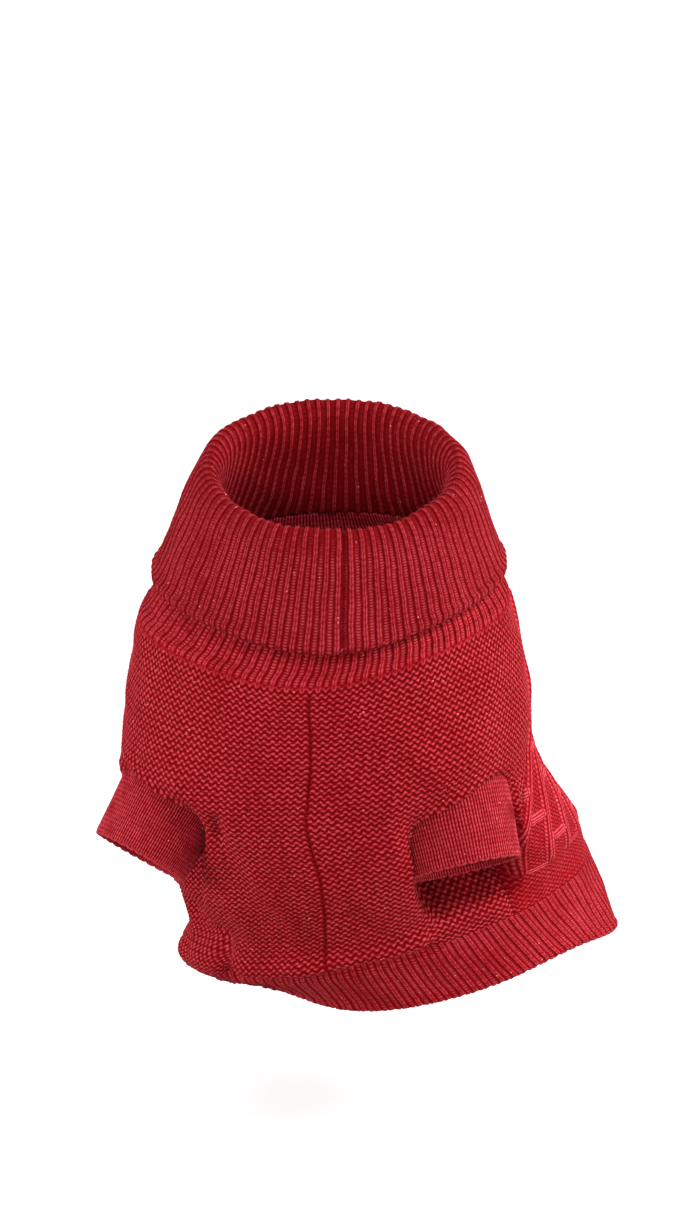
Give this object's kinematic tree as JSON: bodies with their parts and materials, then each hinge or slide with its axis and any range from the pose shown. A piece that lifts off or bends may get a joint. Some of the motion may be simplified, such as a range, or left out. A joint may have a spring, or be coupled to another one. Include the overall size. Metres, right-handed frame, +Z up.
{
  "type": "dog sweater",
  "caption": "Knitted turtleneck sweater for a small dog: rolled ribbed collar, purl chest with a centre seam, short sleeves, cable back and ribbed hem, shown as worn in a sitting pose.",
  "frame": {"origin": "middle of the neck base, where the wearer's neck and shoulders carry the garment", "axes": "+Z up, -Y the way the chest faces, +X towards the wearer's left"},
  "size_m": [0.2407, 0.2489, 0.2926],
  "materials": {
    "collar_rib": "knitted 1 by 1 rib",
    "neck_rib": "knitted rib",
    "chest_left_purl": "knitted purl",
    "chest_right_purl": "knitted purl",
    "back_cable": "knitted cables on purl",
    "sleeve_left_plain": "fine plain knit",
    "sleeve_right_plain": "fine plain knit",
    "hem_rib": "knitted rib"
  },
  "bodies": {
    "root": {"collar": "collar_rib", "neck_band": "neck_rib", "chest_left": "chest_left_purl", "chest_right": "chest_right_purl", "back_panel": "back_cable", "sleeve_left": "sleeve_left_plain", "sleeve_right": "sleeve_right_plain", "hem_band": "hem_rib"}
  },
  "joints": []
}
